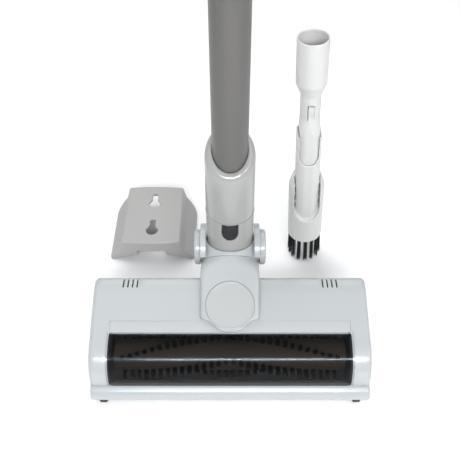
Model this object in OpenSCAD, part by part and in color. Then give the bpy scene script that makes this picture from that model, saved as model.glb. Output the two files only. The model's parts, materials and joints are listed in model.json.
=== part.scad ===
// Cordless stick vacuum, parked upright, with its wall bracket and crevice tool beside it.
// X is right, Y is back, Z is up. The wand axis stands on the origin, on the floor.

/* [Floor head] */
// full width of the floor head
head_w = 265; // [255:1:275]
// height of the head's top face
head_h = 70; // [68:0.5:71]
// radius of the roller window
window_r = 33; // [32.8:0.1:33.4]
// wall of the plastic shells
wall = 2.5; // [2:0.1:3]
// radius over the tufts of the roller brush
roller_r = 24; // [21:0.5:24.5]
// radius of the badge disc
badge_r = 23.2; // [18:0.2:24]

/* [Neck and socket] */
// height of the wand's tilt axis above the floor
tilt_z = 75; // [75:0.5:76]
// tilt of the swivel axis above the horizontal
swivel_rise = 30; // [29:0.5:31]
// radius of the neck
neck_r = 28.9; // [28.6:0.1:29.5]
// radius of the wand socket
socket_r = 23; // [22.6:0.1:23.1]
// how far the wand folds back
tilt_max = 80; // [60:5:85]

/* [Wand and hand unit] */
// radius of the wand tube
wand_r = 16; // [15.4:0.1:16.1]
// height of the wand's upper end
wand_top = 850; // [700:10:900]
// radius of the dust cup
cup_r = 38; // [36:0.5:38.5]
// length of the dust cup
cup_h = 118; // [110:1:150]
// radius of the suction motor
motor_r = 26; // [22:0.5:30]

/* [Accessories] */
// width of the wall bracket
bracket_w = 96; // [92:1:98]
// distance between the two keyholes
keyhole_gap = 42; // [38:1:44]
// length of the crevice tool
tool_l = 276; // [270:1:290]
// how far the tool leans to the left
tool_lean = 3; // [0:0.5:4]

/* [Hidden] */
$fn = 96;
slack = 0.4;                        // between pieces that move past each other
run = 0.05;                         // running fit, radial
front_y = 134;                      // from the lip to the tilt axis
lip_z = 19;                         // seam between the lower and the upper shell
sole_z = 4;                         // underside of the chassis
rear_y = 101;                       // rear wall of the head, from the lip
rear_r = 7;                         // rounding of the rear top edge
window_c = [41, 20.5];              // centre of the window's curve, (y, z)
window_y = 43.5;                    // rear edge of the window
window_w = head_w - 35;             // width of the window
bezel = [54, 59.5];                 // rear edge of the recessed band, (y, z)
slope = [[70, 64.5], [84, head_h]]; // the top surface behind the band
roller_c = [39, 25];                // roller axis, (y, z)
core_r = 15;
shaft_r = 4;
chamber_r = 26.2;
plate_x = window_w / 2 - 2;         // inner face of the bearing plates
plate_t = 2.5;
bush_r = 8;
rib_x = window_w / 2 + 0.6;         // cover ribs beside the window
rib_t = 2;
belt_x = rib_x + rib_t + 5.4;       // middle of the belt
belt_w = 7;
belt_t = 1.5;
roller_pulley_r = 12;
motor_pulley_r = 6;
brush_motor_c = [84, 26];
brush_motor_r = 13;
boss_r = 3;
screw_r = 1.4;
screw_spots = [[20, 122], [95.2, 122]];
duct_r = 17;
duct_t = 2;
wheel_r = 5;
wheel_w = 7.4;
wheel_x = 120.5;
wheel_c = [4.2, 5];
axle_r = 1.5;
rear_wheel_r = 12;
rear_wheel_w = 9;
rear_wheel_x = 25.5;
rear_wheel_c = [122, 12];
rear_axle_r = 2.5;
tail_x = 20;
pad_c = [64, 70.6];                 // centre of the badge, (y, z)
pad_rise = 25;
pad_r = 25;
seam_a = -14.6;                     // swivel seam, along the swivel axis from the tilt axis
barrel_r = 24;
barrel_x = 23.4;
barrel_bevel = 10;
spigot_r = 26.2;
spigot_a = -31.5;
cheek_x = barrel_x + slack;
cheek_t = 5.8;
cheek_r = 24;
cap_r = 18.1;
cap_t = 6.1;
pin_r = 7.95;
airway_x = 17;
seam_z = tilt_z + 56;               // seam between socket and wand collar
seam_t = 0.8;
latch_w = 14.8;
latch_h = 20.2;
mouth_front = seam_z + 54;
mouth_back = seam_z + 77;
plug_r = wand_r + 0.4;
tube_t = 1.2;
cup_y = -70;
cup_z = wand_top + 16;              // lower edge of the cup
cup_t = 2;
cup_top = cup_z + cup_h;
flap_t = 4.2;
hinge_c = [cup_y + cup_r + 3.2, cup_z - 1.5];
duct_out_r = 19.5;
duct_top = cup_z + 96;
housing_r = cup_r + 3;
housing_z = cup_top + 0.2;
housing_h = 116;
housing_top = housing_z + housing_h;
cap_h = 12;
grip_r = 14;
grip_t = 2.5;
grip_y = 74;
arm_z = housing_top - 22;
base_z = wand_top + 64;             // underside of the handle's foot
foot_t = 12;
cell_r = 9.1;
cell_l = 65;
cell_pitch = [19.4, 19.4];
pack_x = 31;
pack_y0 = duct_out_r + 0.8;
pack_y1 = pack_y0 + cell_l + 5;
pack_h = 41;
jack_r = 2.75;
jack_l = 9;
bracket_c = [-88.5, 89];
bracket_l = 92;
bracket_h = 32;
bracket_t = 3;
keyhole_r = 6.5;
slot_w = 5.9;
tool_c = [85.6, 61];
tool_socket_r = 14.4;
tool_bore_r = 12.9;
tool_bore_l = 34;
tool_neck_r = 9.7;
nozzle = [19.6, 24];
sleeve_t = 2;
sleeve_top = 175;
shoe_r = 18.5;
shoe_top = 118;
tuft_l = 34;
tuft_n = 14;

// ---- frames -----------------------------------------------------------------------------------

// a (y, z) profile measured from the lip, drawn out along X about the middle
module head_x(length) translate([0, -front_y, 0]) rotate([90, 0, 90])
    linear_extrude(height = length, center = true) children();

// a (y, z) profile about the tilt axis, drawn out along X
module tilt_x(length) translate([0, 0, tilt_z]) rotate([90, 0, 90])
    linear_extrude(height = length, center = true) children();

module at_swivel() translate([0, 0, tilt_z]) rotate([swivel_rise - 90, 0, 0]) children();

module at_pad() translate([0, pad_c[0] - front_y, pad_c[1]]) rotate([pad_rise, 0, 0]) children();

module at_cup(z) translate([0, cup_y, z]) children();

module at_tool() translate([tool_c[0], tool_c[1], 0]) rotate([0, -tool_lean, 0]) children();

// a rod along X at a (y, z) of the head
module head_rod(c, r, x0, x1) translate([x0, c[0] - front_y, c[1]]) rotate([0, 90, 0])
    cylinder(r = r, h = x1 - x0);

module rod_x(r, x0, x1) translate([x0, 0, 0]) rotate([0, 90, 0]) cylinder(r = r, h = x1 - x0);

module both_sides() {
    children();
    mirror([1, 0, 0]) children();
}

module tube(r, bore, h) difference() {
    cylinder(r = r, h = h);
    translate([0, 0, -1]) cylinder(r = bore, h = h + 2);
}

// ---- floor head -------------------------------------------------------------------------------

// side profile of the upper shell, w inside its surface, running on below the lip
module cover_profile(w) {
    translate(window_c) circle(r = window_r - w);
    polygon([[window_c[0], 0], [window_c[0], window_c[1] + window_r - w], [bezel[0], bezel[1] - w],
             [slope[0][0], slope[0][1] - w], [slope[1][0], slope[1][1] - w],
             for (k = [0 : 8]) [rear_y - rear_r, head_h - rear_r]
                 + (rear_r - w) * [sin(90 / 8 * k), cos(90 / 8 * k)],
             [rear_y - w, 0]]);
}

module cover_outline(w) intersection() {
    cover_profile(w);
    translate([0, lip_z]) square([rear_y, head_h]);
}

module inside_outline() {
    cover_outline(wall + 0.1);
    translate([11, sole_z]) square([rear_y - 11 - wall, lip_z - sole_z]);
}

module roller_hole(x0, x1) head_rod(roller_c, bush_r, x0, x1);

module head_chassis() color("#d9dee2") difference() {
    union() {
        difference() {
            head_x(head_w) polygon([[11, sole_z], [11, lip_z], [rear_y, lip_z], [rear_y, 9],
                                    [rear_y - 5, sole_z]]);
            translate([-head_w / 2 + wall, 11 + wall - front_y, sole_z + wall])
                cube([head_w - 2 * wall, rear_y - 11 - 2 * wall, lip_z]);
            translate([-plate_x, 14 - front_y, 0]) cube([2 * plate_x, 50, lip_z]);
        }
        // wall behind the roller
        head_x(2 * plate_x) intersection() {
            translate(roller_c) difference() {
                circle(r = chamber_r + wall);
                circle(r = chamber_r);
            }
            inside_outline();
            translate([window_y, 0]) square([60, head_h]);
        }
        // plates that carry the roller
        both_sides() translate([plate_x + plate_t / 2, 0, 0]) head_x(plate_t) intersection() {
            translate(window_c) circle(r = window_r - wall - 0.5);
            translate([10, sole_z]) square([60, head_h]);
        }
        // cradle of the brush motor
        for (x = [-98, -54]) translate([x, 0, 0]) head_x(4)
            translate([69, sole_z]) square([28, brush_motor_c[1] - sole_z]);
        // posts of the circuit board
        for (x = [48, 92], y = [74, 92]) translate([x, y - front_y, sole_z + 1]) cylinder(r = 2.5, h = 9);
        // tail with the rear wheels
        head_x(2 * tail_x) {
            translate([rear_y - wall, 7]) square([rear_wheel_c[0] - rear_y + wall, 10]);
            translate(rear_wheel_c) circle(r = 6);
        }
    }
    head_rod(brush_motor_c, brush_motor_r, -106, -46);
    both_sides() roller_hole(plate_x - 1, plate_x + plate_t + 1);
    at_swivel() translate([0, 0, -100]) cylinder(r = duct_r, h = 60);
    head_rod(rear_wheel_c, rear_axle_r, -tail_x - 1, tail_x + 1);
    both_sides() for (s = screw_spots) translate([s[1], s[0] - front_y, sole_z]) {
        translate([0, 0, -1]) cylinder(r = 2 * screw_r, h = 2.2);
        cylinder(r = screw_r, h = 10);
    }
}

module vent_slots() both_sides() for (i = [0 : 3])
    translate([90.2 + 4.5 * i, 91 - front_y, head_h - 6]) rotate([0, 0, -8])
        translate([-1, -5, 0]) cube([2, 10, 12]);

module top_cover() color("#dfe4e8") difference() {
    union() {
        difference() {
            head_x(head_w) cover_outline(0);
            head_x(head_w - 2 * wall) cover_profile(wall);
            translate([-window_w / 2, -front_y - 5, lip_z - 1]) cube([window_w, window_y + 5, head_h]);
        }
        // ribs beside the window
        both_sides() translate([rib_x + rib_t / 2, 0, 0]) head_x(rib_t) cover_outline(wall / 2);
        // screw posts
        intersection() {
            both_sides() for (s = screw_spots)
                translate([s[1], s[0] - front_y, sole_z + wall]) cylinder(r = boss_r, h = head_h);
            head_x(head_w) { cover_outline(1); square([rear_y - wall, lip_z + 1]); }
        }
    }
    // recessed band behind the window
    head_x(window_w - 2) polygon([[window_y - 1, window_c[1] + window_r - 0.4], [window_y, 53.9],
                                  [bezel[0], bezel[1] - 0.8], [bezel[0], bezel[1] + 9],
                                  [window_y - 1, bezel[1] + 9]]);
    vent_slots();
    at_swivel() translate([0, 0, -100]) cylinder(r = duct_r + duct_t + 0.3, h = 100);
    both_sides() {
        head_rod(roller_c, 5, rib_x - 1, rib_x + rib_t + 1);
        head_rod(brush_motor_c, 4, rib_x - 1, rib_x + rib_t + 1);
        for (s = screw_spots) translate([s[1], s[0] - front_y, sole_z]) cylinder(r = screw_r, h = 14);
    }
}

module roller_window() color("#30353a", 0.55) head_x(window_w - 0.6) intersection() {
    translate(window_c) difference() {
        circle(r = window_r);
        circle(r = window_r - wall);
    }
    translate([0, lip_z]) square([window_y - 0.3, head_h]);
}

module lens_spots(r, depth) for (x = [-33, -14, 14, 33])
    translate([x, 1.6 - front_y, 6.2]) rotate([145, 0, 0]) translate([0, 0, -depth])
        cylinder(r = r, h = depth + 0.3);

module front_lip() color("#dfe4e8") difference() {
    head_x(head_w) polygon([[-1, 8], [-0.6, 10.5], [0.8, 13], [3.2, 15.8], [6.4, 18], [9.4, lip_z],
                            [11, lip_z], [11, 4.5], [4, 4.5], [1.2, 5.6]]);
    lens_spots(2.2, 4);
    both_sides() {
        head_rod(wheel_c, wheel_r + 0.8, wheel_x - wheel_w / 2 - 0.6, wheel_x + wheel_w / 2 + 0.6);
        head_rod(wheel_c, axle_r, wheel_x - 7, wheel_x + 7);
    }
}

module led_lenses() color("#f4f7ff") lens_spots(2.2, 4);

module neck_fairing() color("#dfe4e8") difference() {
    union() {
        at_swivel() translate([0, 0, -80]) cylinder(r = neck_r, h = 80 + seam_a - 0.3);
        intersection() {
            at_pad() translate([0, 0, -40]) linear_extrude(height = 39.2) {
                circle(r = pad_r);
                polygon([[-pad_r, 0], [pad_r, 0], [neck_r, 60], [-neck_r, 60]]);
            }
            at_swivel() translate([0, 0, -95])
                cylinder(r1 = 52, r2 = neck_r, h = 95 + seam_a - 4.4);
        }
    }
    at_pad() translate([0, 0, -0.8]) cylinder(r = badge_r + 0.3, h = 20);
    head_x(head_w) {
        cover_outline(0);
        square([rear_y, lip_z + 1]);
    }
    at_swivel() {
        translate([0, 0, spigot_a - 2]) cylinder(r = spigot_r + 0.3, h = 60);
        translate([0, 0, -100]) cylinder(r = duct_r + duct_t, h = 100);
    }
}

module badge_disc() color("#eef1f3") at_pad() {
    translate([0, 0, -0.8]) cylinder(r = badge_r, h = 1);
    tube(badge_r, badge_r - 1.4, 0.5);
}

module air_duct() color("#4b4f53") difference() {
    at_swivel() translate([0, 0, -91]) tube(duct_r + duct_t, duct_r, 91 + spigot_a - 2);
    head_x(80) translate(roller_c) circle(r = chamber_r + wall);
}

module brush_motor() color("#8b8f93") difference() {
    union() {
        head_rod(brush_motor_c, brush_motor_r, -106, -46);
        head_rod(brush_motor_c, 5, -46, -42);
    }
    head_rod(brush_motor_c, 1.6 + run, -107, -94);
}

// outline of the belt, extra outside the pulleys; the runs start just inside the arcs
module belt_outline(extra) {
    d = brush_motor_c - roller_c;
    span = norm(d);
    wrap = acos((roller_pulley_r - motor_pulley_r) / span);
    r1 = roller_pulley_r + extra;
    r2 = motor_pulley_r + extra;
    inset = 0.02;
    translate(roller_c) rotate(atan2(d[1], d[0])) {
        circle(r = r1);
        translate([span, 0]) circle(r = r2);
        polygon([(r1 - inset) * [cos(wrap), sin(wrap)], [span, 0] + (r2 - inset) * [cos(wrap), sin(wrap)],
                 [span, 0] + (r2 - inset) * [cos(wrap), -sin(wrap)],
                 (r1 - inset) * [cos(wrap), -sin(wrap)]]);
    }
}

module drive_belt() color("#1c1c1e") translate([-belt_x, 0, 0]) head_x(belt_w) difference() {
    belt_outline(0.3 + belt_t);
    belt_outline(0.3);
}

module roller_bearings() color("#b9a46a") both_sides() difference() {
    roller_hole(plate_x, plate_x + plate_t);
    head_rod(roller_c, shaft_r + run, plate_x - 1, plate_x + plate_t + 1);
}

module head_board() color("#1d6a45") translate([40, 70 - front_y, sole_z + 10]) {
    cube([60, 26, 1.6]);
    translate([10, 6, 1.6]) cube([14, 12, 3]);
    translate([36, 8, 1.6]) cube([9, 9, 6]);
    translate([52, 13, 1.6]) cylinder(r = 4, h = 9);
}

module sole_strip() color("#2b2c2e") {
    translate([-105, 66.5 - front_y, 1.6]) cube([210, 3, sole_z - 1.6]);
    for (i = [0 : 20]) translate([-104 + 10.1 * i, 69.5 - front_y, 2.4]) cube([6, 1.6, sole_z - 2.4]);
}

module wheel_axles() color("#a9adb1") {
    both_sides() head_rod(wheel_c, axle_r, wheel_x - 7, wheel_x + 7);
    head_rod(rear_wheel_c, rear_axle_r, -rear_wheel_x - 6.5, rear_wheel_x + 6.5);
}

module head_screws() color("#8a8d90") both_sides() for (s = screw_spots)
    translate([s[1], s[0] - front_y, sole_z]) difference() {
        union() {
            cylinder(r = 2 * screw_r, h = 1.2);
            translate([0, 0, 1.2]) cylinder(r = screw_r, h = 8.8);
        }
        translate([-1.8, -0.3, -1]) cube([3.6, 0.6, 1.6]);
        translate([-0.3, -1.8, -1]) cube([0.6, 3.6, 1.6]);
    }

module roller_core() color("#6a6e72") {
    difference() {
        head_rod(roller_c, core_r, -plate_x + 3, plate_x - 3);
        head_rod(roller_c, core_r - 3, -plate_x + 6, plate_x - 6);
    }
    both_sides() head_rod(roller_c, shaft_r, plate_x - 6, plate_x + 4);
    head_rod(roller_c, shaft_r, -belt_x - belt_w / 2 - 1, -plate_x);
}

// tufts in V rows: the angle grows from the middle towards both ends
module bristle_rows() color("#151517") {
    rows = 4;
    tufts = 19;
    pitch = (plate_x - 8) / tufts;
    both_sides() for (k = [0 : rows - 1], i = [0 : tufts - 1])
        translate([pitch * (i + 0.5), roller_c[0] - front_y, roller_c[1]])
            rotate([360 / rows * k + 4.6 * i, 0, 0]) translate([0, 0, core_r])
                cylinder(r1 = 1.5, r2 = 2.2, h = roller_r - core_r, $fn = 16);
}

module pulley(c, r, bore, teeth) difference() {
    head_rod(c, r, -belt_x - belt_w / 2, -belt_x + belt_w / 2);
    head_rod(c, bore, -belt_x - belt_w, -belt_x + belt_w);
    for (i = [0 : teeth - 1]) translate([-belt_x, c[0] - front_y, c[1]]) rotate([360 / teeth * i, 0, 0])
        translate([0, 0, r]) rotate([0, 90, 0]) cylinder(r = 0.6, h = 2 * belt_w, center = true, $fn = 16);
}

module roller_pulley() color("#d6d2c4") pulley(roller_c, roller_pulley_r, shaft_r, 24);

module motor_pulley() color("#c9c4b2") {
    pulley(brush_motor_c, motor_pulley_r, 1.6, 12);
    head_rod(brush_motor_c, 1.6, -belt_x - belt_w / 2, -95);
}

module wheel(c, r, w, x, bore) translate([x, c[0] - front_y, c[1]]) rotate([0, 90, 0])
    difference() {
        union() {
            cylinder(r = r, h = w - 2, center = true);
            both_ends(w / 2 - 1) cylinder(r1 = r, r2 = r - 1, h = 1);
        }
        cylinder(r = bore, h = 2 * w, center = true);
    }

module both_ends(z) {
    translate([0, 0, z]) children();
    mirror([0, 0, 1]) translate([0, 0, z]) children();
}

module front_wheel_left() color("#1b1b1d") wheel(wheel_c, wheel_r, wheel_w, -wheel_x, axle_r + run);
module front_wheel_right() color("#1b1b1d") wheel(wheel_c, wheel_r, wheel_w, wheel_x, axle_r + run);

module rear_wheel(x) color("#2a2b2d") difference() {
    wheel(rear_wheel_c, rear_wheel_r, rear_wheel_w, x, rear_axle_r + run);
    for (i = [0 : 4]) translate([x, rear_wheel_c[0] - front_y, rear_wheel_c[1]]) rotate([72 * i, 0, 0])
        translate([0, 0, 6.6]) rotate([0, 90, 0]) cylinder(r = 1.9, h = 20, center = true);
}
module rear_wheel_left() rear_wheel(-rear_wheel_x);
module rear_wheel_right() rear_wheel(rear_wheel_x);

// ---- neck, socket and wand --------------------------------------------------------------------

// the drum that turns in the yoke, its edges bevelled
module barrel(grow) translate([0, 0, tilt_z]) rotate([0, 90, 0]) rotate_extrude()
    polygon([[0, -barrel_x - grow], [barrel_r - barrel_bevel + grow, -barrel_x - grow],
             [barrel_r + grow, barrel_bevel - barrel_x - grow], [barrel_r + grow, barrel_x + grow - barrel_bevel],
             [barrel_r - barrel_bevel + grow, barrel_x + grow], [0, barrel_x + grow]]);

module yoke() color("#e3e8ec") difference() {
    union() {
        at_swivel() {
            translate([0, 0, seam_a]) cylinder(r = neck_r, h = 8 - seam_a);
            translate([0, 0, spigot_a]) cylinder(r = spigot_r, h = seam_a - spigot_a + 1);
        }
        intersection() {
            translate([0, 0, tilt_z]) both_sides() rod_x(cheek_r, cheek_x - 1, cheek_x + cheek_t);
            at_swivel() translate([-60, -60, seam_a]) cube([120, 120, 60]);
        }
    }
    at_swivel() {
        translate([0, 0, spigot_a + 3]) cylinder(r = spigot_r - 2, h = seam_a - spigot_a - 1);
        translate([0, 0, spigot_a - 1]) cylinder(r = duct_r, h = 40);
    }
    barrel(slack);
    // room for the socket to fold back
    tilt_x(2 * cheek_x) polygon([
        [-socket_r - slack, 0], [-socket_r - slack, 120], [200, 120],
        [(socket_r + slack) * cos(tilt_max) + 200 * sin(tilt_max),
         200 * cos(tilt_max) - (socket_r + slack) * sin(tilt_max)],
        [(socket_r + slack) * cos(tilt_max), -(socket_r + slack) * sin(tilt_max)], [-3, -5]]);
    translate([0, 0, tilt_z]) rod_x(pin_r, -60, 60);
}

module tilt_pins() color("#9a9ea2") translate([0, 0, tilt_z]) both_sides()
    rod_x(pin_r, airway_x + 1.4, cheek_x + cheek_t + cap_t - 1.6);

module pivot_caps() color("#e3e8ec") translate([0, 0, tilt_z]) both_sides()
    translate([cheek_x + cheek_t, 0, 0]) rotate([0, 90, 0]) difference() {
        union() {
            cylinder(r = cap_r, h = cap_t - 1.5);
            translate([0, 0, cap_t - 1.5]) cylinder(r1 = cap_r, r2 = cap_r - 1.5, h = 1.5);
        }
        translate([0, 0, -1]) cylinder(r = pin_r, h = cap_t - 0.6);
        translate([0, 0, cap_t - 0.6]) tube(cap_r - 4, cap_r - 5, 2);
    }

module latch_outline(gap) {
    translate([0, latch_w / 2]) circle(r = latch_w / 2 + gap);
    translate([-latch_w / 2 - gap, latch_w / 2])
        square([latch_w + 2 * gap, latch_h - latch_w / 2 + gap]);
}

module latch_prism(gap, depth) translate([0, 0, seam_z - seam_t - latch_h]) rotate([90, 0, 0])
    linear_extrude(height = depth) latch_outline(gap);

module socket_base() color("#e8ebec") difference() {
    union() {
        barrel(0);
        translate([0, 0, tilt_z]) cylinder(r = socket_r, h = seam_z - seam_t / 2 - tilt_z);
    }
    translate([0, 0, tilt_z]) {
        rod_x(barrel_r - 4, -airway_x, airway_x);
        rod_x(pin_r + run, -60, 60);
        cylinder(r = plug_r + 0.1, h = 100);
    }
    // the air comes in from the neck at every tilt
    tilt_x(2 * airway_x) polygon([[-1, 3], for (e = [190, 235, 280, 325]) 40 * [cos(e), sin(e)]]);
    latch_prism(0.3, 40);
}

module seam_ring() color("#f2f4f5") translate([0, 0, seam_z - seam_t / 2])
    tube(socket_r + 0.4, plug_r + 0.1, seam_t);

module latch_button() color("#17181a") intersection() {
    latch_prism(0, 40);
    tube(socket_r + 0.6, socket_r - 3.5, seam_z);
}

module wand_plug() color("#3b3e41") difference() {
    union() {
        translate([0, 0, tilt_z + 20]) cylinder(r = plug_r, h = seam_z + 3 - tilt_z - 20);
        translate([0, 0, seam_z]) cylinder(r = wand_r - tube_t, h = 22);
    }
    cylinder(r = wand_r - tube_t - 1.4, h = seam_z + 30);
}

module mouth_cut(lift) translate([0, 0, (mouth_front + mouth_back) / 2 + lift])
    rotate([atan2(mouth_back - mouth_front, 2 * socket_r - 1), 0, 0]) translate([-40, -40, 0])
        cube([80, 80, 60]);

module wand_collar() color("#e8ebec") difference() {
    translate([0, 0, seam_z + seam_t / 2])
        cylinder(r1 = socket_r, r2 = socket_r - 0.8, h = mouth_back - seam_z + 12);
    mouth_cut(0);
    // the rim is sunk around the tube
    intersection() {
        mouth_cut(-6);
        cylinder(r = socket_r - 2.6, h = mouth_back + 20);
    }
    cylinder(r = plug_r + 0.05, h = mouth_back + 20);
}

module wand_tube() color("#8c8b89") translate([0, 0, seam_z + 3])
    tube(wand_r, wand_r - tube_t, wand_top + 20 - seam_z - 3);

module release_prism(gap) translate([0, 0, wand_top - 27]) rotate([90, 0, 0])
    linear_extrude(height = 40) {
        translate([0, 11]) circle(r = 6 + gap);
        translate([-6 - gap, -gap]) square([12 + 2 * gap, 11 + gap]);
    }

module wand_top_collar() color("#2f3235") difference() {
    union() {
        translate([0, 0, wand_top - 36]) cylinder(r1 = wand_r + 1.4, r2 = wand_r + 3, h = 5);
        translate([0, 0, wand_top - 31]) cylinder(r = wand_r + 3, h = 30.6);
    }
    cylinder(r = wand_r + run, h = wand_top + 10);
    release_prism(0.3);
}

module wand_release() color("#8d2f2a") intersection() {
    release_prism(0);
    tube(wand_r + 4, wand_r + 2, wand_top);
}

// ---- hand unit --------------------------------------------------------------------------------

module inlet_duct() color("#5a5f64") difference() {
    union() {
        translate([0, 0, wand_top - 0.2]) cylinder(r = duct_out_r, h = duct_top - wand_top);
        translate([0, 0, duct_top - 0.2]) cylinder(r1 = duct_out_r, r2 = duct_out_r - 5, h = 5);
        translate([0, 0, duct_top - 20]) rotate([90, 0, 0]) cylinder(r = 13, h = 40);
    }
    translate([0, 0, wand_top - 1]) cylinder(r = wand_r + 0.3, h = duct_top - wand_top - 1);
    translate([0, 0, duct_top - 20]) rotate([90, 0, 0]) cylinder(r = 11, h = 60);
    at_cup(cup_z) cylinder(r = cup_r, h = cup_h);
}

module dust_cup() color("#c9d3dc", 0.4) difference() {
    union() {
        at_cup(cup_z) cylinder(r = cup_r, h = cup_h);
        // ears of the flap's hinge
        both_sides() translate([9.4, 0, hinge_c[1]]) {
            translate([0, hinge_c[0], 0]) rod_x(3.4, 0, 3.6);
            translate([0, cup_y + cup_r - 2, 0.4]) cube([3.6, 5, 8]);
        }
    }
    at_cup(cup_z - 1) cylinder(r = cup_r - cup_t, h = cup_h + 2);
    translate([0, 0, duct_top - 20]) rotate([90, 0, 0]) cylinder(r = 11, h = -cup_y);
    translate([0, hinge_c[0], hinge_c[1]]) rod_x(1.4 + run, -30, 30);
    at_cup(cup_z - 20) cylinder(r = cup_r + 2, h = 20);
}

module cup_flap() color("#4a4e52") {
    at_cup(cup_z - 0.3 - flap_t) {
        cylinder(r = cup_r - 0.5, h = flap_t);
        translate([-6, -cup_r - 3.4, 0]) cube([12, 8, flap_t]);
    }
    translate([0, hinge_c[0], hinge_c[1]]) {
        rod_x(3, -9, 9);
        rod_x(1.4, -12.6, 12.6);
    }
    translate([-9, cup_y + cup_r - 5, hinge_c[1] - 3]) cube([18, hinge_c[0] - cup_y - cup_r + 5, 3.6]);
}

module flap_seal() color("#222325") at_cup(cup_z - 0.3) tube(cup_r - cup_t - 0.4, cup_r - cup_t - 3, 2.4);

module cup_latch() color("#8d2f2a") translate([-8, cup_y - cup_r - 5.4, cup_z + 3.6]) difference() {
    cube([16, 5, 24]);
    for (i = [0 : 3]) translate([2, -1, 8 + 3.6 * i]) cube([12, 1.8, 1.6]);
}

module cyclone_shroud() color("#9b9fa3") at_cup(0) difference() {
    union() {
        translate([0, 0, cup_z + 30]) tube(22, 20.8, cup_h - 34);
        translate([0, 0, cup_top - 6]) cylinder(r = cup_r - cup_t - 0.1, h = 6);
    }
    translate([0, 0, cup_top - 8]) cylinder(r = 14, h = 20);
    for (k = [0 : 4], i = [0 : 11]) translate([0, 0, cup_z + 42 + 12 * k]) rotate([0, 0, 30 * i + 15 * k])
        translate([15, -2.6, 0]) cube([12, 5.2, 7]);
}

module cyclone_cone() color("#3f4346") at_cup(0) difference() {
    translate([0, 0, cup_z + 12]) cylinder(r1 = 8, r2 = 19, h = cup_h - 18);
    translate([0, 0, cup_z + 11.9]) cylinder(r1 = 6.6, r2 = 17.6, h = cup_h - 17.8);
}

module pre_filter() color("#efe9dc") at_cup(housing_z + wall) difference() {
    cylinder(r = 30, h = 14);
    translate([0, 0, -1]) cylinder(r = 15, h = 16);
    for (i = [0 : 23]) rotate([0, 0, 15 * i]) translate([28, -0.8, -1]) cube([4, 1.6, 16]);
}

module motor_housing() color("#d5d9dc") difference() {
    union() {
        at_cup(housing_z) cylinder(r = housing_r, h = housing_h);
        // lobe that ties the inlet duct to the housing
        translate([0, 0, duct_top + 4.8]) intersection() {
            translate([-duct_out_r, -50, 0]) cube([2 * duct_out_r, 50 + duct_out_r, 60]);
            union() {
                cylinder(r = duct_out_r, h = 60);
                translate([-duct_out_r, -50, 0]) cube([2 * duct_out_r, 50, 60]);
            }
        }
    }
    at_cup(housing_z + wall) cylinder(r = housing_r - wall, h = housing_h);
    at_cup(cup_z) cylinder(r = cup_r + 0.3, h = cup_h + 0.2);
    at_cup(housing_z - 1) cylinder(r = 15, h = 10);
    translate([0, 0, arm_z]) rotate([90, 0, 0]) cylinder(r = grip_r - grip_t, h = 40);
}

module suction_motor() color("#b9bdc1") at_cup(housing_z + 44) difference() {
    union() {
        cylinder(r = motor_r, h = 56);
        translate([0, 0, 56]) cylinder(r = 9, h = 4);
    }
    translate([0, 0, -1]) cylinder(r = 2.5 + run, h = 14);
    for (i = [0 : 7]) rotate([0, 0, 45 * i]) translate([motor_r - 1.2, -3, 10]) cube([4, 6, 30]);
}

module motor_mounts() color("#232426") for (z = [48, 94])
    at_cup(housing_z + z) difference() {
        cylinder(r = housing_r - wall, h = 4);
        translate([0, 0, -1]) cylinder(r = motor_r + 0.02, h = 6);
        for (i = [0 : 5]) rotate([0, 0, 60 * i]) translate([(motor_r + housing_r) / 2, 0, -1])
            cylinder(r = 3.6, h = 6);
    }

module impeller() color("#e9e6dc") at_cup(housing_z + 24) {
    difference() {
        union() {
            cylinder(r = 24, h = 2);
            cylinder(r1 = 9, r2 = 5, h = 16);
            cylinder(r = 2.5, h = 30);
        }
    }
    for (i = [0 : 8]) rotate([0, 0, 40 * i]) translate([6, -0.7, 1]) rotate([0, 0, 22]) cube([17, 1.4, 12]);
}

module exhaust_grille() color("#3f4347") difference() {
    at_cup(housing_top + 0.2) difference() {
        union() {
            cylinder(r = housing_r, h = cap_h - 3);
            translate([0, 0, cap_h - 3]) cylinder(r1 = housing_r, r2 = housing_r - 3, h = 3);
        }
        translate([0, 0, -1]) cylinder(r = housing_r - wall, h = cap_h - 2);
        translate([0, 0, -1]) cylinder(r = 9 + slack, h = 20);
        for (i = [0 : 23]) rotate([0, 0, 15 * i]) translate([18, -1.2, cap_h - 6]) cube([16, 2.4, 10]);
        for (i = [0 : 35]) rotate([0, 0, 10 * i]) translate([housing_r - 4, -1.1, 2]) cube([8, 2.2, 5]);
    }
    screw_ring() cylinder(r = 2.4, h = 3);
}

module mode_button() color("#e7eaec") at_cup(housing_top + cap_h - 2.8) difference() {
    cylinder(r = 9, h = 4);
    translate([0, 0, 3.6]) tube(6, 5.2, 1);
}

module handle_path(r) {
    translate([0, 0, arm_z]) {
        translate([0, cup_y + 20, 0]) rotate([-90, 0, 0]) cylinder(r = r, h = grip_y - 20 - cup_y - 20);
        // quarter bend into the grip
        translate([0, grip_y - 20, -20]) rotate([90, 0, 90]) rotate_extrude(angle = 90)
            translate([20, 0]) circle(r = r);
    }
    translate([0, grip_y, base_z + 6]) cylinder(r = r, h = arm_z - 20 - base_z - 6);
}

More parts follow.
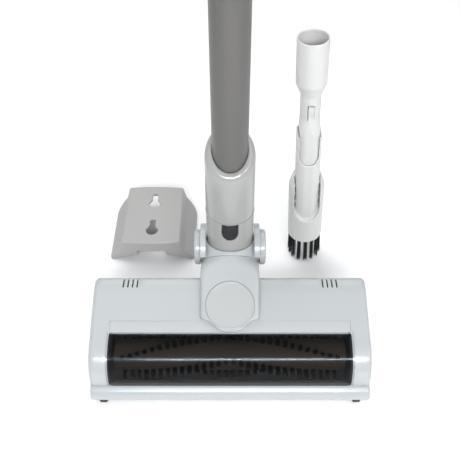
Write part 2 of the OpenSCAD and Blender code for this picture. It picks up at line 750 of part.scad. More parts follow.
module handle() color("#3c4044") difference() {
    union() {
        handle_path(grip_r);
        // foot above the battery, clamped round the duct
        translate([-pack_x - 3, 0, base_z]) cube([2 * pack_x + 6, pack_y1, foot_t]);
        translate([0, 0, base_z]) cylinder(r = duct_out_r + 5, h = foot_t + 2);
        // rails that carry the battery
        both_sides() {
            translate([pack_x + slack, pack_y0 + 4, base_z - 11]) cube([2.6, pack_y1 - pack_y0 - 6, 11.5]);
            translate([pack_x - 1.6, pack_y0 + 4, base_z - 11]) cube([4, pack_y1 - pack_y0 - 6, 2.6]);
        }
    }
    difference() {
        handle_path(grip_r - grip_t);
        translate([-40, 0, base_z]) cube([80, 200, 6]);
    }
    translate([0, 0, base_z - 20]) cylinder(r = duct_out_r, h = 60);
    at_cup(housing_z - 10) cylinder(r = housing_r, h = housing_h + 20);
    translate([0, 0, duct_top]) {
        cylinder(r = duct_out_r, h = 64.8);
        translate([-duct_out_r, -60, 0]) cube([2 * duct_out_r, 60, 64.8]);
    }
    translate([-5.4, grip_y - grip_r - 2, arm_z - 62]) cube([10.8, 8, 24.8]);
}

module trigger() color("#8d2f2a") translate([-5, grip_y - grip_r - 5, arm_z - 61.6]) difference() {
    cube([10, 10, 24]);
    translate([-1, -14, 12]) rotate([0, 90, 0]) cylinder(r = 17, h = 12);
}

module screw_ring() for (a = [30, 150, 270])
    translate([0, cup_y, housing_top + cap_h - 0.9]) rotate([0, 0, a]) translate([14, 0, 0]) children();

module housing_screws() color("#8a8d90") screw_ring() difference() {
    cylinder(r = 2.4, h = 1.1);
    translate([-1.8, -0.3, 0.6]) cube([3.6, 0.6, 2]);
    translate([-0.3, -1.8, 0.6]) cube([0.6, 3.6, 2]);
}

module cell_grid() for (i = [-1, 0, 1], k = [0, 1])
    translate([cell_pitch[0] * i, pack_y0 + 1.7, base_z - 0.5 - pack_h / 2 + cell_pitch[1] * (k - 0.5)])
        rotate([-90, 0, 0]) children();

module battery_case() color("#3c4044") difference() {
    translate([-pack_x, pack_y0, base_z - 0.5 - pack_h]) cube([2 * pack_x, pack_y1 - pack_y0, pack_h]);
    cell_grid() cylinder(r = cell_r, h = cell_l);
    // grooves for the rails
    both_sides() translate([pack_x - 2, pack_y0 - 1, base_z - 11 - slack])
        cube([6, pack_y1 - pack_y0 + 2, 2.6 + 2 * slack]);
    translate([cell_pitch[0] / 2, pack_y1 + 0.01, base_z - 0.5 - pack_h / 2]) rotate([90, 0, 0])
        cylinder(r = jack_r, h = jack_l);
    translate([-8.3, pack_y1 - 1.6, base_z - 13.3]) cube([7.6, 3, 10.6]);
}

module battery_cells() color("#5f7f9c") cell_grid() cylinder(r = cell_r, h = cell_l);

module battery_latch() color("#8d2f2a") translate([-8, pack_y1 - 0.2, base_z - 13]) difference() {
    cube([7, 2, 10]);
    for (i = [0 : 2]) translate([1, 1.4, 2 + 2.6 * i]) cube([5, 1, 1.2]);
}

// ---- accessories ------------------------------------------------------------------------------

// plan of the bracket, its long edges bowed and its far corners round
module bracket_plan(w) intersection() {
    translate([0, 0]) square([bracket_w - 2 * w, bracket_l - 2 * w], center = true);
    translate([0, bracket_l / 2 - 260]) circle(r = 260 - w);
    translate([0, 260 - bracket_l / 2]) circle(r = 260 - w);
    union() {
        translate([-bracket_w, -bracket_l / 2]) square([2 * bracket_w, bracket_l - 20]);
        for (x = [-1, 1]) translate([x * (bracket_w / 2 - 20), bracket_l / 2 - 20]) circle(r = 20 - w);
        square([bracket_w - 40, bracket_l], center = true);
    }
}

// half of the bracket's outline seen along Y: plate, steep side and flared wing
bracket_half = [[32, bracket_h, 0.85, 1], [36.5, 16, 0.9, 0.6], [bracket_w / 2, 5, 1, 0.4], [bracket_w / 2, -1, 1, 0]];

// cross-section of the bracket, seen along Y
module bracket_section(w) polygon([
    for (p = bracket_half) [p[0] - w * p[2], p[1] - w * p[3]],
    for (i = [3 : -1 : 0]) [w * bracket_half[i][2] - bracket_half[i][0], bracket_half[i][1] - w * bracket_half[i][3]]]);

module bracket_body(w) intersection() {
    linear_extrude(height = bracket_h) bracket_plan(w);
    rotate([90, 0, 0]) linear_extrude(height = 2 * bracket_l, center = true) bracket_section(w);
}

module keyhole() {
    circle(r = keyhole_r);
    polygon([[-4.2, 3], [4.2, 3], [4.2, 5.2], [slot_w / 2, 7], [slot_w / 2, 14.4], [-slot_w / 2, 14.4],
             [-slot_w / 2, 7], [-4.2, 5.2]]);
    translate([0, 14.4]) circle(r = slot_w / 2);
}

module wall_bracket() color("#cfd3d6") translate([bracket_c[0], bracket_c[1], 0]) difference() {
    bracket_body(0);
    difference() {
        translate([0, 0, -0.01]) bracket_body(bracket_t);
        // ribs under the plate
        for (x = [-20, 20]) translate([x - 1, -bracket_l / 2, bracket_h - 10]) cube([2, bracket_l, 20]);
    }
    // arched lower edge of the near skirt, with its middle notch
    translate([0, 0, -71.5]) rotate([90, 0, 0]) cylinder(r = 84, h = bracket_l);
    translate([-16, -bracket_l, -1]) cube([32, bracket_l / 2 + 12, 19]);
    // the far end is open for the tool holder
    translate([-bracket_w / 2 + 14, bracket_l / 2 - 12, -1]) cube([bracket_w - 28, 20, 20]);
    for (k = [-0.5, 0.5]) translate([0, k * keyhole_gap - 4.7, 0]) linear_extrude(height = 60) keyhole();
}

// flat oval section of the nozzle, grown all round
module nozzle_plan(grow) intersection() {
    circle(r = 12.6 + grow);
    square([nozzle[0] + 2 * grow, nozzle[1] + 2 * grow], center = true);
}

module crevice_nozzle() color("#e6e9eb") at_tool() difference() {
    union() {
        translate([0, 0, tool_l - 44.5]) cylinder(r = tool_socket_r, h = 44.5);
        translate([0, 0, tool_l - 57]) cylinder(r1 = tool_neck_r, r2 = tool_socket_r, h = 12.51);
        translate([0, 0, 180]) cylinder(r = tool_neck_r, h = tool_l - 57 - 180);
        // oval nozzle, running up into the round neck
        intersection() {
            translate([0, 0, 52]) linear_extrude(height = 144) nozzle_plan(0);
            union() {
                cylinder(r = 30, h = 170);
                translate([0, 0, 170]) cylinder(r1 = 14, r2 = tool_neck_r - 0.5, h = 26);
            }
        }
    }
    translate([0, 0, tool_l - tool_bore_l]) cylinder(r = tool_bore_r, h = 60);
    translate([0, 0, 160]) cylinder(r = tool_neck_r - 2.5, h = tool_l - 160);
    translate([0, 0, 40]) linear_extrude(height = 124) nozzle_plan(-2);
    translate([-3, -tool_neck_r - 4, tool_l - 82]) cube([6, 6.3, 16.8]);
}

module tool_button() color("#e6e9eb") at_tool() translate([-2.6, -tool_neck_r - 2, tool_l - 81.6])
    difference() {
        cube([5.2, 3.4, 16]);
        for (i = [0 : 2]) translate([-1, -0.7, 5 + 2.5 * i]) cube([8, 1, 1]);
    }

module tool_sleeve() color("#e6e9eb") at_tool() difference() {
    union() {
        translate([0, 0, tuft_l]) linear_extrude(height = sleeve_top - tuft_l) nozzle_plan(sleeve_t);
        // brush shoe round the sleeve's lower end
        difference() {
            rotate_extrude() polygon([[0, tuft_l], [shoe_r, tuft_l], [shoe_r, shoe_top - 12], [15.2, shoe_top],
                [0, shoe_top]]);
            // its front is cut low, with a round bottom edge
            translate([0, 0, 80]) rotate([90, 0, 0]) cylinder(r = 13.2, h = 30);
            translate([-13.2, -30, 80]) cube([26.4, 30, 60]);
        }
    }
    translate([0, 0, tuft_l - 10]) linear_extrude(height = 200) nozzle_plan(slack);
    // the sleeve's front is cut lower, with a round bottom edge
    translate([0, 0, 151]) rotate([90, 0, 0]) cylinder(r = 9.4, h = 20);
    translate([-9.4, -20, 151]) cube([18.8, 20, 60]);
    tuft_spots() cylinder(r = 2.1, h = 12);
}

module tuft_spots() for (i = [0 : tuft_n - 1]) rotate([0, 0, 360 / tuft_n * i - 90])
    translate([15.6, 0, tuft_l]) children();

module tool_tufts() color("#151517") at_tool() {
    tuft_spots() cylinder(r = 2.1, h = 12);
    tuft_spots() translate([0, 0, 1.6 - tuft_l]) cylinder(r1 = 2.5, r2 = 2.1, h = tuft_l - 1.6);
}

// ---- output -----------------------------------------------------------------------------------

head_chassis();
top_cover();
roller_window();
front_lip();
led_lenses();
neck_fairing();
badge_disc();
air_duct();
brush_motor();
drive_belt();
roller_bearings();
head_board();
sole_strip();
wheel_axles();
head_screws();
wall_bracket();
crevice_nozzle();
roller_core();
bristle_rows();
roller_pulley();
motor_pulley();
front_wheel_left();
front_wheel_right();
rear_wheel_left();
rear_wheel_right();
yoke();
tilt_pins();
pivot_caps();
socket_base();
seam_ring();
wand_plug();
wand_collar();
wand_tube();
wand_top_collar();
inlet_duct();
dust_cup();
cyclone_shroud();
cyclone_cone();
pre_filter();
motor_housing();
suction_motor();
motor_mounts();
exhaust_grille();
handle();
housing_screws();
latch_button();
wand_release();
cup_flap();
flap_seal();
cup_latch();
impeller();
trigger();
mode_button();
battery_case();
battery_cells();
battery_latch();
tool_sleeve();
tool_tufts();
tool_button();
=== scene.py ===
"""Cordless stick vacuum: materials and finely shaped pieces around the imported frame.

Metres, X right, Y back, Z up. Sizes written in millimetres are multiplied by MM.
"""
import json
import math
import random

import bmesh
import bpy
from mathutils import Matrix, Vector


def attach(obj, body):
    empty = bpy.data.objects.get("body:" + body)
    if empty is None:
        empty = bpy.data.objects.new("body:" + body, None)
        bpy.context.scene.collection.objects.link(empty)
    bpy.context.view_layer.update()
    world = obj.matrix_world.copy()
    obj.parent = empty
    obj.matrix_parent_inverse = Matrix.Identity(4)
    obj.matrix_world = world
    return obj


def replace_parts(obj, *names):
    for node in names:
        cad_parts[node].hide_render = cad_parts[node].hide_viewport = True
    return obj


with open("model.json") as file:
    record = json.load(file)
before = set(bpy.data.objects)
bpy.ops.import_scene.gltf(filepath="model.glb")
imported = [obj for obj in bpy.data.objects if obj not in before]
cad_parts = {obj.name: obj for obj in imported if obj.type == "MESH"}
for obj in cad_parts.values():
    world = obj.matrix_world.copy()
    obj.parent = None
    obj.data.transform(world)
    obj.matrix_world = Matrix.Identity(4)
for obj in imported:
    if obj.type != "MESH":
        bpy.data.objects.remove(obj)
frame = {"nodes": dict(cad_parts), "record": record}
CAD = frame["nodes"]
BODY_OF = {n: b for b, ns in frame["record"]["behaviour"]["bodies"].items() for n in ns}
SLOT_OF = {s["node"]: s["material_slot"] for s in frame["record"]["subparts"]}
SLOT_OF["yoke"] = SLOT_OF["pivot_caps"] = "white_gloss"   # these two are as white as the head
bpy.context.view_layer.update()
scene = bpy.context.scene
MM = 0.001

# ---- camera -----------------------------------------------------------------------------------
CAMERA_AT = (0.0, -0.431, 0.562)
CAMERA_PITCH = 47          # degrees below the horizon
LENS_MM = 50.1
cam = bpy.data.objects.new("camera", bpy.data.cameras.new("camera"))
cam.data.lens = LENS_MM
cam.data.sensor_width = 36
cam.location = CAMERA_AT
cam.rotation_euler = (math.radians(90 - CAMERA_PITCH), 0, 0)
scene.collection.objects.link(cam)
scene.camera = cam

# ---- sizes shared by several pieces, in millimetres -------------------------------------------
HEAD_W, HEAD_H = 265, 70
FRONT_Y = 134              # from the lip back to the tilt axis
LIP_Z = 19
REAR_Y = 101
TILT_Z = 75
SWIVEL_RISE = 30
ROLLER_Y, ROLLER_Z, ROLLER_CORE_R, ROLLER_TIP_R = 39 - FRONT_Y, 25, 15, 24
ROLLER_HALF = 105          # half the length that the tufts cover
BADGE_Y, BADGE_Z, BADGE_RISE, BADGE_R = 64 - FRONT_Y, 70.6, 25, 23.2
WINDOW_HALF = 115


# ---- materials --------------------------------------------------------------------------------
def surface(name, colour, rough, mottle=0.03, mottle_size=30, grain=0.15, grain_size=1.0, stretch=(1, 1, 1),
            rough_spread=0.06, round_edge=0.4, metallic=0.0, coat=0.0, alpha=1.0, sheen=0.0, ior=1.5):
    """A Principled surface with mottled colour, uneven gloss and a fine moulded grain, in millimetres."""
    mat = bpy.data.materials.new(name)
    mat.use_nodes = True
    nt = mat.node_tree
    bsdf = nt.nodes["Principled BSDF"]
    bsdf.inputs["Metallic"].default_value = metallic
    bsdf.inputs["Coat Weight"].default_value = coat
    bsdf.inputs["Coat Roughness"].default_value = 0.08
    bsdf.inputs["Sheen Weight"].default_value = sheen
    bsdf.inputs["IOR"].default_value = ior
    bsdf.inputs["Alpha"].default_value = alpha
    coord = nt.nodes.new("ShaderNodeTexCoord")
    mapping = nt.nodes.new("ShaderNodeMapping")
    mapping.inputs["Scale"].default_value = stretch
    nt.links.new(coord.outputs["Object"], mapping.inputs["Vector"])

    def noise(size_mm, detail):
        n = nt.nodes.new("ShaderNodeTexNoise")
        n.inputs["Scale"].default_value = 1 / (size_mm * MM)
        n.inputs["Detail"].default_value = detail
        nt.links.new(mapping.outputs["Vector"], n.inputs["Vector"])
        return n

    wide = noise(mottle_size, 4)
    mix = nt.nodes.new("ShaderNodeMix")
    mix.data_type = "RGBA"
    mix.inputs["A"].default_value = (*[c * (1 - mottle) for c in colour], 1)
    mix.inputs["B"].default_value = (*[min(1, c * (1 + mottle)) for c in colour], 1)
    nt.links.new(wide.outputs["Fac"], mix.inputs["Factor"])
    nt.links.new(mix.outputs["Result"], bsdf.inputs["Base Color"])
    fine = noise(grain_size, 2)
    span = nt.nodes.new("ShaderNodeMapRange")
    span.inputs["To Min"].default_value = max(0.02, rough - rough_spread)
    span.inputs["To Max"].default_value = rough + rough_spread
    nt.links.new(wide.outputs["Fac"], span.inputs["Value"])
    nt.links.new(span.outputs["Result"], bsdf.inputs["Roughness"])
    bump = nt.nodes.new("ShaderNodeBump")
    bump.inputs["Strength"].default_value = grain
    bump.inputs["Distance"].default_value = 0.05 * MM
    nt.links.new(fine.outputs["Fac"], bump.inputs["Height"])
    if round_edge:
        edge = nt.nodes.new("ShaderNodeBevel")
        edge.samples = 4
        edge.inputs["Radius"].default_value = round_edge * MM
        nt.links.new(edge.outputs["Normal"], bump.inputs["Normal"])
    nt.links.new(bump.outputs["Normal"], bsdf.inputs["Normal"])
    return mat


MATS = {
    "white_gloss": surface(
        "white_gloss", (0.385, 0.402, 0.406), rough=0.24, mottle=0.012, mottle_size=60, grain=0.05,
        grain_size=0.8, coat=0.35),
    "white_joint": surface(
        "white_joint", (0.295, 0.295, 0.288), rough=0.20, mottle=0.012, mottle_size=50, grain=0.05,
        grain_size=0.8, coat=0.4),
    "white_matte": surface(
        "white_matte", (0.54, 0.535, 0.525), rough=0.38, mottle=0.015, mottle_size=40, grain=0.25,
        grain_size=0.5),
    "bracket_grey": surface(
        "bracket_grey", (0.345, 0.337, 0.33), rough=0.45, mottle=0.02, mottle_size=40, grain=0.35,
        grain_size=0.6),
    "window_smoke": surface(
        "window_smoke", (0.002, 0.0022, 0.0025), rough=0.13, mottle=0.2, mottle_size=40, grain=0.02,
        grain_size=2.0, rough_spread=0.03, alpha=0.50, ior=1.24, round_edge=0),
    "lens_clear": surface(
        "lens_clear", (0.9, 0.94, 1.0), rough=0.12, mottle=0.02, mottle_size=3, grain=0.1,
        grain_size=0.5, coat=0.5),
    "badge_silver": surface(
        "badge_silver", (0.375, 0.386, 0.384), rough=0.3, mottle=0.01, mottle_size=60, grain=0.08,
        grain_size=0.3, rough_spread=0.02),
    "black_plastic": surface(
        "black_plastic", (0.008, 0.008, 0.009), rough=0.28, mottle=0.15, mottle_size=8, grain=0.2,
        grain_size=0.4),
    "wheel_black": surface(
        "wheel_black", (0.015, 0.015, 0.016), rough=0.6, mottle=0.25, mottle_size=5, grain=0.5,
        grain_size=0.5),
    "bristle_black": surface(
        "bristle_black", (0.002, 0.002, 0.0023), rough=0.7, mottle=0.3, mottle_size=3, grain=0.2,
        grain_size=0.3, round_edge=0),
    # The brown in this colour is partly painted reflection: on top of the roller's own dark grey it stands
    # in for the wood floor mirrored in the window.
    "roller_grey": surface(
        "roller_grey", (0.25, 0.195, 0.15), rough=0.6, mottle=0.2, mottle_size=4, grain=0.9,
        grain_size=0.7, sheen=0.4),
    "dark_plastic": surface(
        "dark_plastic", (0.045, 0.048, 0.052), rough=0.42, mottle=0.1, mottle_size=25, grain=0.45,
        grain_size=0.5),
    "duct_grey": surface(
        "duct_grey", (0.115, 0.12, 0.13), rough=0.3, mottle=0.06, mottle_size=30, grain=0.15,
        grain_size=0.6, coat=0.15),
    "housing_white": surface(
        "housing_white", (0.43, 0.445, 0.45), rough=0.22, mottle=0.012, mottle_size=60, grain=0.06,
        grain_size=0.8, coat=0.35),
    "cup_clear": surface(
        "cup_clear", (0.62, 0.68, 0.72), rough=0.08, mottle=0.05, mottle_size=40, grain=0.02,
        grain_size=2.0, rough_spread=0.03, alpha=0.30, round_edge=0),
    "wand_grey": surface(
        "wand_grey", (0.118, 0.114, 0.108), rough=0.36, mottle=0.03, mottle_size=60, grain=0.22,
        grain_size=0.35, stretch=(1, 1, 0.12), metallic=0.35, round_edge=0.2),
    "mesh_steel": surface(
        "mesh_steel", (0.42, 0.43, 0.44), rough=0.32, mottle=0.06, mottle_size=8, grain=0.3,
        grain_size=0.3, metallic=0.9),
    "motor_metal": surface(
        "motor_metal", (0.45, 0.46, 0.47), rough=0.34, mottle=0.06, mottle_size=12, grain=0.3,
        grain_size=0.4, stretch=(1, 1, 0.2), metallic=0.9),
    "steel": surface(
        "steel", (0.5, 0.5, 0.51), rough=0.28, mottle=0.06, mottle_size=6, grain=0.3, grain_size=0.25,
        stretch=(0.2, 1, 1), metallic=1.0),
    "bronze": surface(
        "bronze", (0.42, 0.28, 0.10), rough=0.36, mottle=0.12, mottle_size=5, grain=0.3, grain_size=0.3,
        metallic=1.0),
    "belt_rubber": surface(
        "belt_rubber", (0.02, 0.02, 0.021), rough=0.65, mottle=0.2, mottle_size=6, grain=0.6,
        grain_size=0.5),
    "pulley_cream": surface(
        "pulley_cream", (0.62, 0.57, 0.46), rough=0.4, mottle=0.05, mottle_size=8, grain=0.25,
        grain_size=0.5),
    "board_green": surface(
        "board_green", (0.02, 0.14, 0.06), rough=0.35, mottle=0.25, mottle_size=2, grain=0.35,
        grain_size=0.6, coat=0.3),
    "filter_cream": surface(
        "filter_cream", (0.72, 0.66, 0.52), rough=0.9, mottle=0.1, mottle_size=3, grain=1.0,
        grain_size=0.6, sheen=0.3),
    "red_button": surface(
        "red_button", (0.30, 0.035, 0.025), rough=0.26, mottle=0.08, mottle_size=10, grain=0.12,
        grain_size=0.5, coat=0.3),
    "cell_blue": surface(
        "cell_blue", (0.05, 0.12, 0.22), rough=0.3, mottle=0.06, mottle_size=20, grain=0.1,
        grain_size=0.6, coat=0.2),
}


# ---- mesh helpers -----------------------------------------------------------------------------
def new_object(name, mesh, body, slot, sharp=38):
    """A visible piece of the body, smooth up to the sharp angle in degrees."""
    ob = bpy.data.objects.new(name, mesh)
    scene.collection.objects.link(ob)
    mesh.materials.clear()
    mesh.materials.append(MATS[slot])
    mesh.polygons.foreach_set("use_smooth", [True] * len(mesh.polygons))
    if sharp:
        mesh.set_sharp_from_angle(angle=math.radians(sharp))
    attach(ob, body)
    return ob


def mesh_of(name, verts, faces):
    """A mesh from points in metres and faces of their numbers."""
    me = bpy.data.meshes.new(name)
    me.from_pydata([tuple(v) for v in verts], [], faces)
    me.validate()
    return me


def baked(ob, name):
    """The object's mesh with its modifiers applied, after which the helper object is removed."""
    bpy.context.view_layer.update()
    dg = bpy.context.evaluated_depsgraph_get()
    me = bpy.data.meshes.new_from_object(ob.evaluated_get(dg))
    me.name = name
    bpy.data.objects.remove(ob)
    return me


def helper(mesh):
    """An object that only carries modifiers."""
    ob = bpy.data.objects.new("helper", mesh)
    scene.collection.objects.link(ob)
    return ob


def rounded(points, radii, steps=6):
    """The closed outline with each corner turned into an arc of its radius."""
    out = []
    n = len(points)
    for i, r in enumerate(radii):
        p = Vector(points[i])
        if r <= 0:
            out.append(p)
            continue
        a, b = Vector(points[i - 1]) - p, Vector(points[(i + 1) % n]) - p
        half = a.angle(b) / 2
        reach = min(r / math.tan(half), a.length * 0.49, b.length * 0.49)
        r = reach * math.tan(half)
        start, centre = p + a.normalized() * reach, p + (a.normalized() + b.normalized()).normalized() * (
            r / math.sin(half))
        end = p + b.normalized() * reach
        u, v = start - centre, end - centre
        turn = u.angle_signed(v)
        for k in range(steps + 1):
            t = -turn * k / steps
            c, d = math.cos(t), math.sin(t)
            out.append(centre + Vector((u.x * c - u.y * d, u.x * d + u.y * c)))
    return out


def inset(points, d):
    """An open or closed outline moved to its left by d."""
    out = []
    n = len(points)
    for i in range(n):
        a, b = points[max(i - 1, 0)], points[min(i + 1, n - 1)]
        t = (b - a).normalized()
        out.append(points[i] + Vector((t.y, -t.x)) * d)
    return out


def lathe(name, profile, place, body, slot, steps=64, close=True, sharp=38):
    """(radius, height) profile turned about Z of the place matrix. Millimetres."""
    verts, faces = [], []
    n = len(profile)
    for k in range(steps):
        a = 2 * math.pi * k / steps
        verts += [place @ Vector((r * math.cos(a) * MM, r * math.sin(a) * MM, z * MM)) for r, z in profile]
    last = n if close else n - 1
    for k in range(steps):
        for i in range(last):
            j = (i + 1) % n
            k2 = (k + 1) % steps
            faces.append((k * n + i, k2 * n + i, k2 * n + j, k * n + j))
    me = mesh_of(name, verts, faces)
    bm = bmesh.new()
    bm.from_mesh(me)
    bmesh.ops.remove_doubles(bm, verts=bm.verts, dist=1e-7)
    bmesh.ops.recalc_face_normals(bm, faces=bm.faces)
    bm.to_mesh(me)
    bm.free()
    return new_object(name, me, body, slot, sharp)


def both_ways(xs):
    """The places and their mirror images, in order."""
    return sorted({-x for x in xs} | set(xs))


def end_stations(half, soft):
    """Places along X that draw a quarter circle of radius soft at the end of a long piece."""
    return [half - soft + soft * math.sin(math.pi / 2 * k / 6) for k in range(7)]


def end_inset(x, half, soft):
    """How far the outline at x lies inside the middle one, so that the end is rounded by soft."""
    edge = max(0, abs(x) - (half - soft))
    return soft - math.sqrt(max(0, soft * soft - edge * edge))


def smooth_step(t):
    t = min(1, max(0, t))
    return t * t * (3 - 2 * t)


def rod(place, r0, r1, low, high, steps=96):
    """A closed cone or cylinder along Z of the place, as a mesh."""
    bm = bmesh.new()
    middle = place @ Matrix.Translation((0, 0, (low + high) / 2 * MM))
    bmesh.ops.create_cone(bm, cap_ends=True, segments=steps, radius1=r0 * MM, radius2=r1 * MM,
                          depth=(high - low) * MM, matrix=middle)
    me = bpy.data.meshes.new("rod")
    bm.to_mesh(me)
    bm.free()
    return me


def cut_with(ob, meshes):
    """Cuts the meshes out of the object and returns what is left of it as a mesh."""
    cutters = [helper(me) for me in meshes]
    for cutter in cutters:
        m = ob.modifiers.new("cut", "BOOLEAN")
        m.operation, m.object, m.solver = "DIFFERENCE", cutter, "EXACT"
    me = baked(ob, "cut")
    for cutter in cutters:
        bpy.data.objects.remove(cutter)
    return me


def outward(me):
    """The mesh with its doubled points joined and its faces turned outward."""
    bm = bmesh.new()
    bm.from_mesh(me)
    bmesh.ops.remove_doubles(bm, verts=bm.verts, dist=1e-6)
    bmesh.ops.recalc_face_normals(bm, faces=bm.faces)
    bm.to_mesh(me)
    bm.free()
    return me


def at(x=0, y=0, z=0, rx=0, ry=0, rz=0):
    """A placement from millimetres and degrees."""
    return Matrix.Translation((x * MM, y * MM, z * MM)) @ Matrix.Rotation(math.radians(rz), 4, "Z") @ (
        Matrix.Rotation(math.radians(ry), 4, "Y")) @ Matrix.Rotation(math.radians(rx), 4, "X")


def soften(node, voxel=0.5, rounds=10, keep=0.4):
    """A copy of a CAD node with its edges worn to soft moulded ones, standing for the node."""
    me = CAD[node].data.copy()
    bm = bmesh.new()
    bm.from_mesh(me)
    bmesh.ops.remove_doubles(bm, verts=bm.verts, dist=2e-6)
    bm.to_mesh(me)
    bm.free()
    return soft_copy(node, me, voxel, rounds, keep)


def soft_copy(node, mesh, voxel, rounds, keep):
    """The mesh remeshed, smoothed and thinned, standing for the CAD node."""
    ob = helper(mesh)
    m = ob.modifiers.new("voxels", "REMESH")
    m.mode = "VOXEL"
    m.voxel_size = voxel * MM
    m = ob.modifiers.new("smooth", "SMOOTH")
    m.factor, m.iterations = 0.5, rounds
    m = ob.modifiers.new("thin", "DECIMATE")
    m.ratio = keep
    me = baked(ob, "soft_" + node)
    made = new_object("soft_" + node, me, BODY_OF[node], SLOT_OF[node], sharp=0)
    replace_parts(made, node)
    return made


# ---- floor head -------------------------------------------------------------------------------
# (y, z) from the lip, in millimetres
SHELL_C, SHELL_R = Vector((41, 20.5)), 33      # the round front of the upper shell
SHELL_SOFT, SHELL_WALL = 4.5, 2.4              # rounding of its ends and its thickness
SLOPE_START = (54, 59.5)
WINDOW_BACK = 43.5                             # the rear edge of the window
WINDOW_CORNER, SKIN_STEP = 3, 0.4
BAND_BACK, BAND_HALF, BAND_DEPTH = 54, 114, 0.8    # the shallow band behind the window
VENT_X, VENT_Y, VENT_PITCH = 90.2, 91, 4.5
VENT_SIZE = Vector((1.3, 10, 12)) * MM
LIP_SOFT, LIP_CENTRE = 3, Vector((7, 11))
POCKET_X, POCKET_Y, POCKET_Z, POCKET_R, POCKET_W = 120.5, 4.2, 5, 5.8, 8.6


def head_profile():
    """Side outline of the upper shell from the lip over the top to the rear wall."""
    start, stop, parts = math.asin((LIP_Z - SHELL_C.y) / SHELL_R), math.pi / 2 - 0.12, 24
    arc = []
    for k in range(parts + 1):
        a = start + (stop - start) * k / parts
        arc.append(SHELL_C + SHELL_R * Vector((-math.cos(a), math.sin(a))))
    tail = [SLOPE_START, (70, 64.8), (85, HEAD_H), (REAR_Y, HEAD_H), (REAR_Y, LIP_Z)]
    radii = [0] * len(arc) + [6, 60, 40, 7, 0]
    return rounded([tuple(p) for p in arc] + tail, radii, 8)


def cover_rows():
    """The side outline, split where the window ends and where the band ends."""
    outline = head_profile()
    rows = []
    for p, q in zip(outline, outline[1:] + [None]):
        rows.append(p)
        for cut in (WINDOW_BACK, BAND_BACK - 0.2, BAND_BACK + 0.2):
            if q is not None and p.x < cut - 1e-6 < q.x - 1e-6:
                rows.append(p + (q - p) * ((cut - p.x) / (q.x - p.x)))
    return rows


def cover_skin():
    """The outer skin of the upper shell with soft ends, open below and at the window."""
    rows, half = cover_rows(), HEAD_W / 2
    middle = [0, 20, 40, 60, 80, 100, BAND_HALF - 0.1, BAND_HALF + 0.1, WINDOW_HALF, 120, 125]
    xs = both_ways(middle + end_stations(half, SHELL_SOFT))
    verts = []
    for x in xs:
        ring = inset(rows, end_inset(x, half, SHELL_SOFT))
        if abs(x) > half - SHELL_SOFT:
            ring[0].y = ring[-1].y = LIP_Z
        for p, q in zip(rows, ring):
            in_band = abs(x) < BAND_HALF and WINDOW_BACK - 0.5 < p.x < BAND_BACK
            sunk = BAND_DEPTH if in_band else 0
            verts.append(Vector((x, q.x - FRONT_Y + sunk * 0.4, q.y - sunk)) * MM)
    n, faces = len(rows), []
    for i in range(len(xs) - 1):
        beside_window = abs(xs[i] + xs[i + 1]) / 2 >= WINDOW_HALF
        for j in range(n - 1):
            if beside_window or (rows[j].x + rows[j + 1].x) / 2 >= WINDOW_BACK - 0.1:
                a = i * n + j
                faces.append((a, a + n, a + n + 1, a + 1))
    faces.append(tuple(range(n)))
    faces.append(tuple(reversed(range((len(xs) - 1) * n, len(xs) * n))))
    me = mesh_of("cover", verts, faces)
    bm = bmesh.new()
    bm.from_mesh(me)
    bmesh.ops.recalc_face_normals(bm, faces=bm.faces)
    bm.normal_update()
    top = max(bm.faces, key=lambda f: f.calc_center_median().z)
    if top.normal.z < 0:
        bmesh.ops.reverse_faces(bm, faces=bm.faces)
    bm.to_mesh(me)
    bm.free()
    return me


def cover():
    """Upper shell: its skin given a wall, eight vents and worn edges."""
    ob = helper(cover_skin())
    m = ob.modifiers.new("wall", "SOLIDIFY")
    m.thickness, m.offset = SHELL_WALL * MM, -1
    cut = bmesh.new()
    for side in (-1, 1):
        for k in range(4):
            place = at(side * (VENT_X + VENT_PITCH * k), VENT_Y - FRONT_Y, HEAD_H, rz=2 * side)
            bmesh.ops.create_cube(cut, size=1, matrix=place @ Matrix.Diagonal((*VENT_SIZE, 1)))
    cutter = helper(bpy.data.meshes.new("vents"))
    cut.to_mesh(cutter.data)
    cut.free()
    m = ob.modifiers.new("vents", "BOOLEAN")
    m.operation, m.object, m.solver = "DIFFERENCE", cutter, "EXACT"
    m = ob.modifiers.new("edges", "BEVEL")
    m.width, m.segments, m.limit_method, m.angle_limit = 0.35 * MM, 2, "ANGLE", math.radians(40)
    me = baked(ob, "cover")
    bpy.data.objects.remove(cutter)
    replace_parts(new_object("head_cover", me, "head", "white_gloss", 35), "top_cover")


def window_skin():
    """The side outline over the window in short steps, and the length run at each point."""
    coarse = [p for p in head_profile() if p.x < WINDOW_BACK - 0.1]
    last, slope = coarse[-1], Vector(SLOPE_START)
    coarse.append(last + (slope - last) * ((WINDOW_BACK + 0.1 - last.x) / (slope.x - last.x)))
    skin = [coarse[0]]
    for p, q in zip(coarse, coarse[1:]):
        parts = max(1, round((q - p).length / SKIN_STEP))
        skin += [p + (q - p) * (k / parts) for k in range(1, parts + 1)]
    run = [0]
    for p, q in zip(skin, skin[1:]):
        run.append(run[-1] + (q - p).length)
    return skin, run


